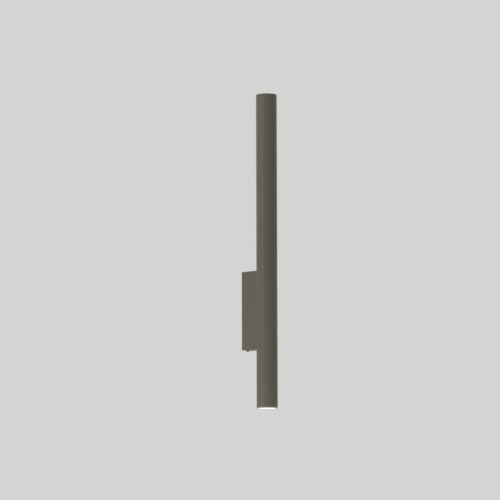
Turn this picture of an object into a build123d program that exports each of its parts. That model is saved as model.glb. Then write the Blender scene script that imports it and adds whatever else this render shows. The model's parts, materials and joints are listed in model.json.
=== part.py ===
from build123d import *
import os
from math import pi, radians, tan

os.makedirs("parts", exist_ok=True)

# Wall light: a slim round tube, open at both ends, held off the wall by a narrow box.
# The origin is on the wall, at the centre of the box's back. +Y runs into the wall,
# -Y is the front and +Z is up. Distances "from the wall" are measured towards -Y.

# Tube
tube_diameter = 40.0
tube_wall = 1.5
tube_length = 600.0
tube_gap = 34.5  # wall to the back of the tube
rim_break = 0.3

# Wall box
box_width = 25.0
box_height = 150.0
box_drop = 112.0  # lower end of the tube to the underside of the box
box_side = 2.0
box_end = 4.0
box_edge = 0.5
web_thickness = 3.0  # the hollow front that cups the tube

# Wall plate, a folded strip that the box slides over
plate_thickness = 1.5
plate_bend = 0.5
plate_reach = 18.0
plate_fit = 0.3
plate_side_fit = 0.5
cable_hole_radius = 7.0
wall_slot_width = 4.5
wall_slot_length = 12.0
wall_slot_spacing = 100.0

# Set screw under the box
set_screw_radius = 1.5
set_screw_from_wall = 3.2
set_screw_gap = 0.1
set_screw_stand_off = 0.4  # its head hangs clear of the underside
set_screw_head_radius = 2.3
set_screw_head_height = 1.8
set_screw_socket = 2.0  # across flats
thread_clearance = 0.05

# Screws that clamp box, tube and tray together
tube_screw_radius = 2.0
tube_screw_length = 12.0
tube_screw_spacing = 100.0
tube_screw_hole_clearance = 0.25
tube_screw_head_radius = 3.8
tube_screw_head_height = 2.2
tube_screw_socket = 2.5
spotface_depth = 0.5
spotface_margin = 0.4
nut_flats = 7.0
nut_height = 3.2

# Tray inside the tube
tray_width = 19.0
tray_thickness = 1.2
tray_bend = 0.8
tray_front_reach = 8.0  # how far the end flanges pass the tube's axis
spacer_thickness = 3.0
spacer_size = 14.0
tray_window_width = 11.0
tray_window_length = 22.0
tray_slot_width = 4.0
tray_slot_length = 16.0
tray_slot_pitch = 40.0

# Leads and the grommet they pass through
lead_radius = 0.9
lead_spread = 2.1
lead_z = 16.0
grommet_bore = 3.3
grommet_sleeve = 1.4
grommet_lip = 1.6
grommet_lip_thickness = 1.2
bend_share = 0.45
fan_straight = 5.0
fan_length = 14.0
mains_entry_height = 6.8

# Terminal block
pad_width = 18.0
pad_rise = 0.5
pad_margin = 2.0
pole_gap = 0.6
pole_count = 3
terminal_side_gap = 0.9
terminal_length = 16.0
terminal_depth = 11.0
terminal_z = -27.0
terminal_base = 2.5
terminal_edge = 1.0
foot_width = 12.0
foot_length = 8.0
clamp_size = 4.5  # square outside, with a round bore
clamp_bore = 1.5
clamp_inset = 1.0
clamp_axis_height = 5.0
clamp_screw_radius = 1.25
clamp_screw_spacing = 8.0
clamp_screw_inset = 1.2
clamp_screw_slot = 0.5
clamp_screw_slot_depth = 0.6
foot_screw_radius = 1.5
foot_screw_length = 5.0
foot_screw_head_radius = 2.75
foot_screw_head_height = 1.65
foot_screw_socket = 2.0

# Earth terminal on the tray
earth_z = -20.0
earth_screw_end = 1.5  # past the back of the tray
ring_radius = 4.0
ring_thickness = 0.8
ring_stem = 13.0
ring_stem_width = 3.4
barrel_radius = 1.7
barrel_length = 7.0

# Driver that feeds both lamps
driver_z = 66.0
driver_length = 110.0
driver_width = 22.0
driver_depth = 24.0
driver_wall = 1.4
driver_lid = 1.5
driver_lid_lip = 1.0
driver_fit = 0.2
driver_ear_length = 8.0
driver_ear_width = 14.0
driver_ear_thickness = 1.5
driver_screw_radius = 1.5
driver_screw_length = 4.0
board_thickness = 1.6
board_standoff = 2.0
board_fit = 0.3
board_foot_radius = 1.5
board_foot_inset = 2.5
transformer_width = 15.0
transformer_length = 22.0
capacitor_radius = 5.5
choke_radius = 4.5
coil_spacing = 32.0
part_height = 12.0

# Lamps, measured from the rim of the tube inwards
lens_recess = 0.6
lamp_radius = 17.5
lamp_flange = 3.0
lamp_length = 36.0
lens_radius = 16.9
lens_thickness = 1.6
lens_fit = 0.1
shell_wall = 1.3
bowl_end_radius = 10.5
bowl_length = 22.0
fin_count = 20
fin_thickness = 1.1
fin_depth = 1.7
fin_root = 0.4  # how far a fin's foot sinks into the bowl
reflector_wall = 0.6
reflector_throat = 6.0
led_board_radius = 8.6
led_seat_depth = 4.0  # solid metal left behind the board
led_board_thickness = 1.2
led_size = 2.8
led_height = 0.7
led_circle = 3.2
led_count = 4
lamp_base_radius = 8.0
lamp_base_waist = 6.0
pin_radius = 0.5
pin_pitch = 4.0
pin_length = 7.0
sleeve_length = 3.0
sleeve_ring_count = 2
sleeve_clearance = 0.1

# Lamp holders
holder_gap = 0.5
holder_width = 17.0
holder_depth = 9.0
holder_height = 12.0
holder_corner = 2.0
holder_pin_clearance = 0.08
holder_pin_depth = 8.0
holder_screw_radius = 1.25
holder_screw_offset = 6.0
holder_screw_head_radius = 2.2
holder_screw_head_height = 1.6
holder_screw_length = 12.0
holder_lead_hole = 3.5

# Places worked out from the sizes above
tube_radius = tube_diameter / 2
bore_radius = tube_radius - tube_wall
axis_from_wall = tube_gap + tube_radius
tube_low = -box_height / 2 - box_drop
tube_high = tube_low + tube_length
web_from_wall = tube_gap - web_thickness
head_seat = web_from_wall + spotface_depth
pad_from_wall = web_from_wall - pad_rise
tray_back = tube_gap + tube_wall + spacer_thickness
tray_front = tray_back + tray_thickness
holder_start = lens_recess + lamp_length + holder_gap
flange_start = holder_start + holder_height
tray_low = tube_low + flange_start
tray_high = tube_high - flange_start
screw_places = [(0, -tube_screw_spacing / 2), (0, tube_screw_spacing / 2)]
lamp_back = lens_recess + lamp_length
bowl_back = lens_recess + lamp_flange + bowl_length

# Local x of this plane is the distance from the wall and local y is height.
side_plane = Plane(origin=(0, 0, 0), x_dir=(0, -1, 0), z_dir=(-1, 0, 0))


def from_wall(distance):
    """Upright plane facing the front, with local x across and local y up."""
    return Plane.XZ.offset(distance)


def save(part, name):
    part.label = name
    export_step(part, f"parts/{name}.step")


def folded_strip(near, low, high, reach, thickness, bend, width):
    """Flat strip with both ends folded forwards, its back at the distance near."""
    with BuildPart() as strip:
        with BuildSketch(side_plane) as profile:
            with Locations((near + reach / 2, (low + high) / 2)):
                Rectangle(reach, high - low)
            fillet(profile.vertices().group_by(Axis.X)[0], bend + thickness)
            with Locations((near + thickness + reach / 2, (low + high) / 2)):
                Rectangle(reach, high - low - 2 * thickness, mode=Mode.SUBTRACT)
            fillet(profile.vertices().group_by(Axis.X)[1], bend)
        extrude(amount=width / 2, both=True)
    return strip.part


def socket_screws(seat, places, radius, length, head_radius, head_height, socket):
    """Screws with a bevelled socket head, their shanks along the seat plane's normal."""
    with BuildPart() as screws:
        with BuildSketch(seat):
            with Locations(*places):
                Circle(head_radius)
        extrude(amount=-head_height)
        chamfer(screws.faces().group_by(Axis(seat.origin, seat.z_dir))[0].edges(), head_height / 3)
        with BuildSketch(seat):
            with Locations(*places):
                Circle(radius)
        extrude(amount=length)
        with BuildSketch(seat.offset(-head_height)):
            with Locations(*places):
                RegularPolygon(socket / 2, 6, major_radius=False)
        extrude(amount=head_height / 2, mode=Mode.SUBTRACT)
    return screws.part


# Body tube
with BuildPart() as body_tube:
    with BuildSketch(Plane.XY.offset(tube_low)):
        with Locations((0, -axis_from_wall)):
            Circle(tube_radius)
            Circle(bore_radius, mode=Mode.SUBTRACT)
    extrude(amount=tube_length)
    chamfer(body_tube.edges().filter_by(GeomType.CIRCLE), rim_break)
    with BuildSketch(from_wall(axis_from_wall)):
        with Locations(*screw_places):
            Circle(tube_screw_radius + tube_screw_hole_clearance)
        with Locations((0, lead_z)):
            Circle(grommet_bore + grommet_sleeve)
    extrude(amount=-tube_radius, mode=Mode.SUBTRACT)
save(body_tube.part, "body_tube")

# Wall box: open at the back, with a hollow web at the front that cups the tube
terminal_low = terminal_z - terminal_length / 2
foot_z = terminal_low - foot_length / 2
pad_low = terminal_low - foot_length - pad_margin
pad_high = terminal_z + terminal_length / 2 + pad_margin
with BuildPart() as wall_box:
    with BuildSketch(Plane.XY.offset(-box_height / 2)):
        with Locations((0, -axis_from_wall / 2)):
            Rectangle(box_width, axis_from_wall)
        with Locations((0, -axis_from_wall)):
            Circle(tube_radius, mode=Mode.SUBTRACT)
    extrude(amount=box_height)
    fillet(wall_box.edges().filter_by(Axis.Y), box_edge)
    with BuildSketch(Plane.XY.offset(-box_height / 2 + box_end)):
        with Locations((0, -axis_from_wall / 2)):
            Rectangle(box_width - 2 * box_side, axis_from_wall)
        with Locations((0, -axis_from_wall)):
            Circle(tube_radius + web_thickness, mode=Mode.SUBTRACT)
    extrude(amount=box_height - 2 * box_end, mode=Mode.SUBTRACT)
    with BuildSketch(Plane.XY.offset(pad_low)):
        with Locations((0, -(pad_from_wall + axis_from_wall) / 2)):
            Rectangle(pad_width, axis_from_wall - pad_from_wall)
        with Locations((0, -axis_from_wall)):
            Circle(tube_radius, mode=Mode.SUBTRACT)
    extrude(amount=pad_high - pad_low)
    with BuildSketch(from_wall(head_seat)):
        with Locations(*screw_places):
            Circle(tube_screw_radius + tube_screw_hole_clearance)
    extrude(amount=tube_radius, mode=Mode.SUBTRACT)
    with BuildSketch(from_wall(head_seat)):
        with Locations(*screw_places):
            Circle(tube_screw_head_radius + spotface_margin)
    extrude(amount=-tube_screw_head_height, mode=Mode.SUBTRACT)
    with BuildSketch(from_wall(pad_from_wall)):
        with Locations((0, lead_z)):
            Circle(grommet_bore + grommet_sleeve)
        with Locations((0, foot_z)):
            Circle(foot_screw_radius + thread_clearance)
    extrude(amount=tube_radius, mode=Mode.SUBTRACT)
    with BuildSketch(Plane.XY.offset(-box_height / 2)):
        with Locations((0, -set_screw_from_wall)):
            Circle(set_screw_radius + thread_clearance)
    extrude(amount=box_end, mode=Mode.SUBTRACT)
save(wall_box.part, "wall_box")

# Wall plate
plate_half = box_height / 2 - box_end - plate_fit
plate_width = box_width - 2 * (box_side + plate_side_fit)
folded_plate = folded_strip(
    0, -plate_half, plate_half, plate_reach, plate_thickness, plate_bend, plate_width
)
with BuildPart() as wall_plate:
    add(folded_plate)
    with BuildSketch(from_wall(0)):
        Circle(cable_hole_radius)
        with Locations((0, -wall_slot_spacing / 2), (0, wall_slot_spacing / 2)):
            SlotOverall(wall_slot_length, wall_slot_width, rotation=90)
    extrude(amount=plate_thickness, mode=Mode.SUBTRACT)
save(wall_plate.part, "wall_plate")

# Set screw, threaded up through the underside of the box against the plate's lower tab
set_screw_tip = -plate_half - set_screw_gap
set_screw_seat = -box_height / 2 - set_screw_stand_off
set_screw = socket_screws(
    Plane.XY.offset(set_screw_seat),
    [(0, -set_screw_from_wall)],
    set_screw_radius,
    set_screw_tip - set_screw_seat,
    set_screw_head_radius,
    set_screw_head_height,
    set_screw_socket,
)
save(set_screw, "set_screw")

# Grommet through the web and the tube, with a lip that follows each curved wall
with BuildPart() as lead_grommet:
    with BuildSketch(from_wall(axis_from_wall)):
        with Locations((0, lead_z)):
            Circle(grommet_bore + grommet_sleeve + grommet_lip)
    extrude(amount=-axis_from_wall)
    with Locations((0, -axis_from_wall, lead_z)):
        Cylinder(tube_radius + web_thickness + grommet_lip_thickness, box_height, mode=Mode.INTERSECT)
        Cylinder(bore_radius - grommet_lip_thickness, box_height, mode=Mode.SUBTRACT)
    with BuildSketch(Plane.XY.offset(lead_z - box_height / 2)):
        with Locations((0, -axis_from_wall)):
            Circle(tube_radius + web_thickness)
            Circle(bore_radius, mode=Mode.SUBTRACT)
    extrude(amount=box_height, mode=Mode.SUBTRACT)
    with BuildSketch(from_wall(axis_from_wall - bore_radius + grommet_lip_thickness)):
        with Locations((0, lead_z)):
            Circle(grommet_bore + grommet_sleeve)
    extrude(amount=-(tube_wall + web_thickness + 2 * grommet_lip_thickness))
    with BuildSketch(from_wall(axis_from_wall)):
        with Locations((0, lead_z)):
            Circle(grommet_bore)
    extrude(amount=-axis_from_wall, mode=Mode.SUBTRACT)
save(lead_grommet.part, "lead_grommet")

# Screws from inside the box, spacers that follow the bore, and the nuts on the tray
tube_screws = socket_screws(
    from_wall(head_seat),
    screw_places,
    tube_screw_radius,
    tube_screw_length,
    tube_screw_head_radius,
    tube_screw_head_height,
    tube_screw_socket,
)
save(tube_screws, "tube_screws")

with BuildPart() as tray_spacers:
    with BuildSketch(from_wall(tray_back)):
        with Locations(*screw_places):
            Rectangle(spacer_size, spacer_size)
            Circle(tube_screw_radius + tube_screw_hole_clearance, mode=Mode.SUBTRACT)
    extrude(amount=-spacer_thickness)
    with Locations((0, -axis_from_wall, 0)):
        Cylinder(bore_radius, tube_length, mode=Mode.INTERSECT)
save(tray_spacers.part, "tray_spacers")

with BuildPart() as tray_nuts:
    with BuildSketch(from_wall(tray_front)):
        with Locations(*screw_places):
            RegularPolygon(nut_flats / 2, 6, major_radius=False, rotation=30)
            Circle(tube_screw_radius + thread_clearance, mode=Mode.SUBTRACT)
    extrude(amount=nut_height)
save(tray_nuts.part, "tray_nuts")

# Tray: a folded strip whose end flanges carry the lamp holders
tray_reach = axis_from_wall + tray_front_reach - tray_back
folded_tray = folded_strip(
    tray_back, tray_low, tray_high, tray_reach, tray_thickness, tray_bend, tray_width
)
driver_screw_z = [
    driver_z - driver_ear_length / 2,
    driver_z + driver_length + driver_ear_length / 2,
]
slot_run = tray_high - driver_screw_z[1]
slot_count = int(slot_run / tray_slot_pitch) - 1
slot_rows = [driver_screw_z[1] + tray_slot_pitch * (i + 1) for i in range(slot_count)]
with BuildPart() as gear_tray:
    add(folded_tray)
    with BuildSketch(from_wall(tray_back)):
        with Locations(*screw_places):
            Circle(tube_screw_radius + tube_screw_hole_clearance)
        with Locations((0, lead_z)):
            SlotOverall(tray_window_length, tray_window_width, rotation=90)
        with Locations((0, earth_z)):
            Circle(tube_screw_radius + thread_clearance)
        with Locations(*[(0, z) for z in driver_screw_z]):
            Circle(driver_screw_radius + thread_clearance)
        with Locations(*[(0, z) for z in slot_rows]):
            SlotOverall(tray_slot_length, tray_slot_width, rotation=90)
    extrude(amount=tray_thickness, mode=Mode.SUBTRACT)
    with BuildSketch(Plane.XY.offset(tray_low)):
        with Locations((0, -axis_from_wall)):
            Circle(holder_lead_hole)
            with GridLocations(2 * holder_screw_offset, 0, 2, 1):
                Circle(holder_screw_radius + thread_clearance)
    extrude(amount=tray_high - tray_low, mode=Mode.SUBTRACT)
save(gear_tray.part, "gear_tray")

# Terminal block on the pad inside the box, as wide as the box leaves room for
terminal_width = box_width - 2 * (box_side + terminal_side_gap)
pole_width = (terminal_width - (pole_count - 1) * pole_gap) / pole_count
pole_pitch = pole_width + pole_gap
pole_places = GridLocations(pole_pitch, 0, pole_count, 1).local_locations
pole_x = [place.position.X for place in pole_places]
clamp_from_wall = pad_from_wall - clamp_axis_height
terminal_top = pad_from_wall - terminal_depth
clamp_plane = Plane.XY.offset(terminal_low)
clamp_centres = [(x, -clamp_from_wall) for x in pole_x]
clamp_screw_rows = [
    (x, terminal_z + side * clamp_screw_spacing / 2) for x in pole_x for side in (-1, 1)
]
with BuildPart() as terminal_block:
    with BuildSketch(from_wall(pad_from_wall)):
        with Locations((0, terminal_z)):
            Rectangle(terminal_width, terminal_length)
        with Locations((0, foot_z)):
            Rectangle(foot_width, foot_length)
    extrude(amount=-terminal_base)
    with BuildSketch(clamp_plane):
        with Locations(*[(x, -(pad_from_wall + terminal_top) / 2) for x in pole_x]):
            RectangleRounded(pole_width, terminal_depth, terminal_edge)
    extrude(amount=terminal_length)
    with BuildSketch(clamp_plane):
        with Locations(*clamp_centres):
            Rectangle(clamp_size, clamp_size)
    extrude(amount=terminal_length, mode=Mode.SUBTRACT)
    with BuildSketch(from_wall(clamp_from_wall)):
        with Locations(*clamp_screw_rows):
            Circle(clamp_screw_radius + 2 * thread_clearance)
    extrude(amount=-terminal_depth, mode=Mode.SUBTRACT)
    with BuildSketch(from_wall(pad_from_wall)):
        with Locations((0, foot_z)):
            Circle(foot_screw_radius + thread_clearance)
    extrude(amount=-terminal_base, mode=Mode.SUBTRACT)
save(terminal_block.part, "terminal_block")

with BuildPart() as terminal_clamps:
    with BuildSketch(clamp_plane.offset(clamp_inset)):
        with Locations(*clamp_centres):
            Rectangle(clamp_size, clamp_size)
            Circle(clamp_bore, mode=Mode.SUBTRACT)
    extrude(amount=terminal_length - 2 * clamp_inset)
    with BuildSketch(from_wall(clamp_from_wall)):
        with Locations(*clamp_screw_rows):
            Circle(clamp_screw_radius + thread_clearance)
    extrude(amount=-terminal_depth, mode=Mode.SUBTRACT)
save(terminal_clamps.part, "terminal_clamps")

clamp_screw_tip = clamp_from_wall - lead_radius - thread_clearance
clamp_screw_head = terminal_top + clamp_screw_inset
with BuildPart() as terminal_screws:
    with BuildSketch(from_wall(clamp_screw_tip)):
        with Locations(*clamp_screw_rows):
            Circle(clamp_screw_radius)
    extrude(amount=clamp_screw_head - clamp_screw_tip)
    with BuildSketch(from_wall(clamp_screw_head)):
        with Locations(*clamp_screw_rows):
            Rectangle(clamp_size, clamp_screw_slot)
    extrude(amount=clamp_screw_slot_depth, mode=Mode.SUBTRACT)
save(terminal_screws.part, "terminal_screws")

terminal_fixing_screw = socket_screws(
    from_wall(pad_from_wall - terminal_base),
    [(0, foot_z)],
    foot_screw_radius,
    foot_screw_length,
    foot_screw_head_radius,
    foot_screw_head_height,
    foot_screw_socket,
)
save(terminal_fixing_screw, "terminal_fixing_screw")

# Earth terminal: a ring tag under a screw in the tray
barrel_from_wall = tray_front + barrel_radius
barrel_low = earth_z + ring_stem - barrel_length
with BuildPart() as earth_tag:
    with BuildSketch(from_wall(tray_front)):
        with Locations((0, earth_z)):
            Circle(ring_radius)
        with Locations((0, earth_z + ring_stem / 2)):
            Rectangle(ring_stem_width, ring_stem)
        with Locations((0, earth_z)):
            Circle(tube_screw_radius + tube_screw_hole_clearance, mode=Mode.SUBTRACT)
    extrude(amount=ring_thickness)
    with BuildSketch(Plane.XY.offset(barrel_low)):
        with Locations((0, -barrel_from_wall)):
            Circle(barrel_radius)
    extrude(amount=barrel_length)
    with BuildSketch(Plane.XY.offset(barrel_low)):
        with Locations((0, -barrel_from_wall)):
            Circle(lead_radius + thread_clearance)
    extrude(amount=barrel_length, mode=Mode.SUBTRACT)
save(earth_tag.part, "earth_tag")

earth_plane = Plane(
    origin=(0, -tray_front - ring_thickness, earth_z), x_dir=(1, 0, 0), z_dir=(0, 1, 0)
)
earth_screw = socket_screws(
    earth_plane,
    [(0, 0)],
    tube_screw_radius,
    ring_thickness + tray_thickness + earth_screw_end,
    tube_screw_head_radius,
    tube_screw_head_height,
    tube_screw_socket,
)
save(earth_screw, "earth_screw")

# Driver: an open case with ears, its circuit board and a lid
driver_back = tray_front
driver_lid_from_wall = driver_back + driver_depth - driver_lid
driver_mid = driver_z + driver_length / 2
with BuildPart() as driver_case:
    with BuildSketch(from_wall(driver_back)):
        with Locations((0, driver_mid)):
            Rectangle(driver_width, driver_length)
    extrude(amount=driver_depth - driver_lid)
    with BuildSketch(from_wall(driver_back + driver_wall)):
        with Locations((0, driver_mid)):
            Rectangle(driver_width - 2 * driver_wall, driver_length - 2 * driver_wall)
    extrude(amount=driver_depth, mode=Mode.SUBTRACT)
    with BuildSketch(from_wall(driver_back)):
        with Locations((0, driver_mid)):
            Rectangle(driver_ear_width, driver_length + 2 * driver_ear_length)
            Rectangle(
                driver_width - 2 * driver_wall,
                driver_length - 2 * driver_wall,
                mode=Mode.SUBTRACT,
            )
        with Locations(*[(0, z) for z in driver_screw_z]):
            Circle(driver_screw_radius + tube_screw_hole_clearance, mode=Mode.SUBTRACT)
    extrude(amount=driver_ear_thickness)
save(driver_case.part, "driver_case")

with BuildPart() as driver_cover:
    with BuildSketch(from_wall(driver_lid_from_wall)):
        with Locations((0, driver_mid)):
            RectangleRounded(driver_width, driver_length, driver_lid_lip)
    extrude(amount=driver_lid)
    lip_inset = driver_wall + driver_fit
    with BuildSketch(from_wall(driver_lid_from_wall)):
        with Locations((0, driver_mid)):
            Rectangle(driver_width - 2 * lip_inset, driver_length - 2 * lip_inset)
            Rectangle(
                driver_width - 2 * lip_inset - 2 * driver_lid_lip,
                driver_length - 2 * lip_inset - 2 * driver_lid_lip,
                mode=Mode.SUBTRACT,
            )
    extrude(amount=-driver_lid_lip)
save(driver_cover.part, "driver_cover")

board_from_wall = driver_back + driver_wall + board_standoff
board_width = driver_width - 2 * driver_wall - 2 * board_fit
board_length = driver_length - 2 * driver_wall - 2 * board_fit
foot_across = board_width - 2 * board_foot_inset
foot_along = board_length - 2 * board_foot_inset
with BuildPart() as driver_board:
    with BuildSketch(from_wall(board_from_wall)):
        with Locations((0, driver_mid)):
            Rectangle(board_width, board_length)
    extrude(amount=board_thickness)
    with BuildSketch(from_wall(board_from_wall)):
        with Locations((0, driver_mid)):
            with GridLocations(foot_across, foot_along, 2, 2):
                Circle(board_foot_radius)
    extrude(amount=-board_standoff)
    with BuildSketch(from_wall(board_from_wall + board_thickness)):
        with Locations((0, driver_mid)):
            Rectangle(transformer_width, transformer_length)
        with Locations((0, driver_mid - coil_spacing)):
            Circle(capacitor_radius)
        with Locations((0, driver_mid + coil_spacing)):
            Circle(choke_radius)
    extrude(amount=part_height)
save(driver_board.part, "driver_board")

driver_plane = Plane(
    origin=(0, -tray_front - driver_ear_thickness, 0), x_dir=(-1, 0, 0), z_dir=(0, 1, 0)
)
driver_screws = socket_screws(
    driver_plane,
    [(0, z) for z in driver_screw_z],
    driver_screw_radius,
    driver_screw_length,
    foot_screw_head_radius,
    foot_screw_head_height,
    foot_screw_socket,
)
save(driver_screws, "driver_screws")


def lead(name, points):
    """Round lead through the points, each bend as wide as its two runs allow."""
    points = [Vector(x, -distance, z) for x, distance, z in points]
    runs = [end - start for start, end in zip(points, points[1:])]
    radii = [
        bend_share * min(a.length, b.length) / tan(radians(a.get_angle(b)) / 2)
        for a, b in zip(runs, runs[1:])
    ]
    with BuildPart() as wire:
        with BuildLine() as route:
            FilletPolyline(*points, radius=radii)
        with BuildSketch(Plane(origin=route.line @ 0, z_dir=route.line % 0)):
            Circle(lead_radius)
        sweep()
    length = route.wire().length
    share = wire.part.volume / (pi * lead_radius**2 * length)
    print(f"{name}: {length:.1f} mm long, volume {share:.4f} of section x length")
    print("  bend radii", [round(radius, 1) for radius in radii])
    return wire.part


# Mains leads from the terminal block, through the grommet, to driver and earth tag
lead_start = terminal_z + clamp_screw_spacing / 2
fan_low = terminal_z + terminal_length / 2 + fan_straight
fan_high = fan_low + fan_length
driver_entry = tray_front + mains_entry_height
for name, side in (("live_lead", -1), ("neutral_lead", 1)):
    route = [
        (side * pole_pitch, clamp_from_wall, lead_start),
        (side * pole_pitch, clamp_from_wall, fan_low),
        (side * lead_spread, clamp_from_wall, fan_high),
        (side * lead_spread, clamp_from_wall, lead_z),
        (side * lead_spread, driver_entry, lead_z),
        (side * lead_spread, driver_entry, driver_z),
    ]
    save(lead(name, route), name)

earth_route = [
    (0, clamp_from_wall, lead_start),
    (0, clamp_from_wall, lead_z),
    (0, barrel_from_wall, lead_z),
    (0, barrel_from_wall, barrel_low),
]
save(lead("earth_lead", earth_route), "earth_lead")

# Pairs of low-voltage leads from the driver to the two lamp holders
driver_top = driver_z + driver_length
pin_x = pin_pitch / 2
lamp_routes = {
    "upper_lamp_leads": [
        (3.0, axis_from_wall - 4.0, driver_top),
        (3.0, axis_from_wall - 4.0, driver_top + 40.0),
        (2.6, axis_from_wall + 2.0, driver_top + 100.0),
        (pin_x, axis_from_wall, tray_high - 30.0),
        (pin_x, axis_from_wall, tray_high),
    ],
    "lower_lamp_leads": [
        (5.0, axis_from_wall + 4.0, driver_z),
        (5.0, axis_from_wall + 4.0, driver_z - 40.0),
        (3.5, axis_from_wall + 2.0, driver_z - 100.0),
        (pin_x, axis_from_wall, tray_low + 40.0),
        (pin_x, axis_from_wall, tray_low),
    ],
}
for name, route in lamp_routes.items():
    first = lead(name, route)
    with BuildPart() as pair:
        add(first)
        mirror(about=Plane.YZ)
    save(pair.part, name)

# Lamp pieces, made once in a frame whose +Z runs from the rim into the tube
flange_back = lens_recess + lamp_flange
led_seat = bowl_back - led_seat_depth
with BuildPart() as lamp_shell:
    with BuildSketch(Plane.XZ) as shell_profile:
        with BuildLine():
            Polyline(
                (0, bowl_back),
                (bowl_end_radius - fin_depth, bowl_back),
                (lamp_radius - fin_depth, flange_back),
                (lamp_radius, flange_back),
                (lamp_radius, lens_recess),
                (lens_radius + lens_fit, lens_recess),
                (lens_radius + lens_fit, lens_recess + lens_thickness),
                (lamp_radius - fin_depth - shell_wall, lens_recess + lens_thickness),
                (lamp_radius - fin_depth - shell_wall, flange_back),
                (led_board_radius + lens_fit, led_seat - led_board_thickness),
                (led_board_radius + lens_fit, led_seat),
                (0, led_seat),
                close=True,
            )
        make_face()
    revolve(axis=Axis.Z)
    with BuildSketch(Plane.XZ):
        with BuildLine():
            Polyline(
                (bowl_end_radius - fin_depth - fin_root, bowl_back),
                (bowl_end_radius, bowl_back),
                (lamp_radius - fin_depth / 4, flange_back),
                (lamp_radius - fin_depth - fin_root, flange_back),
                close=True,
            )
        make_face()
    fin = extrude(amount=fin_thickness / 2, both=True, mode=Mode.PRIVATE)
    with PolarLocations(0, fin_count):
        add(fin)

with BuildPart() as lamp_lens:
    with BuildSketch(Plane.XY.offset(lens_recess)):
        Circle(lens_radius)
    extrude(amount=lens_thickness)
    fillet(lamp_lens.edges().group_by(Axis.Z)[0], lens_thickness / 4)

with BuildPart() as lamp_reflector:
    mouth = lens_recess + lens_thickness
    throat = led_seat - led_board_thickness - led_height
    mouth_radius = lamp_radius - fin_depth - shell_wall - lens_fit
    with BuildSketch(Plane.XZ):
        with BuildLine():
            Polyline(
                (mouth_radius, mouth),
                (mouth_radius, mouth + reflector_wall),
                (reflector_throat + reflector_wall, throat),
                (reflector_throat, throat),
                (mouth_radius - 2 * reflector_wall, mouth),
                close=True,
            )
        make_face()
    revolve(axis=Axis.Z)

with BuildPart() as led_board:
    with BuildSketch(Plane.XY.offset(led_seat)):
        Circle(led_board_radius)
    extrude(amount=-led_board_thickness)
    with BuildSketch(Plane.XY.offset(led_seat - led_board_thickness)):
        with PolarLocations(led_circle, led_count):
            Rectangle(led_size, led_size)
    extrude(amount=-led_height)

with BuildPart() as lamp_base:
    with BuildSketch(Plane.XZ):
        with BuildLine():
            Polyline(
                (0, bowl_back),
                (lamp_base_radius, bowl_back),
                (lamp_base_waist, lamp_back),
                (0, lamp_back),
                close=True,
            )
        make_face()
    revolve(axis=Axis.Z)

with BuildPart() as lamp_pins:
    with BuildSketch(Plane.XY.offset(lamp_back)):
        with GridLocations(pin_pitch, 0, 2, 1):
            Circle(pin_radius)
    extrude(amount=pin_length)
    fillet(lamp_pins.edges().group_by(Axis.Z)[-1], pin_radius / 2)

sleeve_outer = bore_radius - sleeve_clearance
rib_length = sleeve_length / (2 * sleeve_ring_count + 1)
with BuildPart() as centring_ring:
    with BuildSketch(Plane.XY.offset(lens_recess)):
        Circle((sleeve_outer + lamp_radius) / 2)
        Circle(lamp_radius, mode=Mode.SUBTRACT)
    extrude(amount=sleeve_length)
    for i in range(sleeve_ring_count):
        with BuildSketch(Plane.XY.offset(lens_recess + (2 * i + 1) * rib_length)):
            Circle(sleeve_outer)
            Circle(lamp_radius, mode=Mode.SUBTRACT)
        extrude(amount=rib_length)

with BuildPart() as lamp_holder:
    with BuildSketch(Plane.XY.offset(holder_start)):
        RectangleRounded(holder_width, holder_depth, holder_corner)
    extrude(amount=holder_height)
    with BuildSketch(Plane.XY.offset(holder_start)):
        with GridLocations(pin_pitch, 0, 2, 1):
            Circle(pin_radius + holder_pin_clearance)
    extrude(amount=holder_pin_depth, mode=Mode.SUBTRACT)
    with BuildSketch(Plane.XY.offset(holder_start)):
        with GridLocations(2 * holder_screw_offset, 0, 2, 1):
            Circle(holder_screw_radius + thread_clearance)
    extrude(amount=holder_height, mode=Mode.SUBTRACT)
    with BuildSketch(Plane.XY.offset(holder_start)):
        with GridLocations(2 * holder_screw_offset, 0, 2, 1):
            Circle(holder_screw_head_radius + thread_clearance)
    extrude(amount=holder_screw_head_height, mode=Mode.SUBTRACT)

holder_screws = socket_screws(
    Plane.XY.offset(holder_start + holder_screw_head_height),
    [(-holder_screw_offset, 0), (holder_screw_offset, 0)],
    holder_screw_radius,
    holder_screw_length,
    holder_screw_head_radius,
    holder_screw_head_height,
    holder_screw_radius,
)

lamp_pieces = {
    "lamp_shell": lamp_shell.part,
    "lamp_lens": lamp_lens.part,
    "lamp_reflector": lamp_reflector.part,
    "led_board": led_board.part,
    "lamp_base": lamp_base.part,
    "lamp_pins": lamp_pins.part,
    "centring_ring": centring_ring.part,
    "lamp_holder": lamp_holder.part,
    "holder_screws": holder_screws,
}
rims = {
    "upper": Plane(origin=(0, -axis_from_wall, tube_high), x_dir=(1, 0, 0), z_dir=(0, 0, -1)),
    "lower": Plane(origin=(0, -axis_from_wall, tube_low), x_dir=(1, 0, 0), z_dir=(0, 0, 1)),
}
for rim, plane in rims.items():
    for piece, part in lamp_pieces.items():
        save(plane * part, f"{rim}_{piece}")
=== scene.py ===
import json
import math

import bmesh
import bpy
from mathutils import Matrix, Vector


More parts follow.
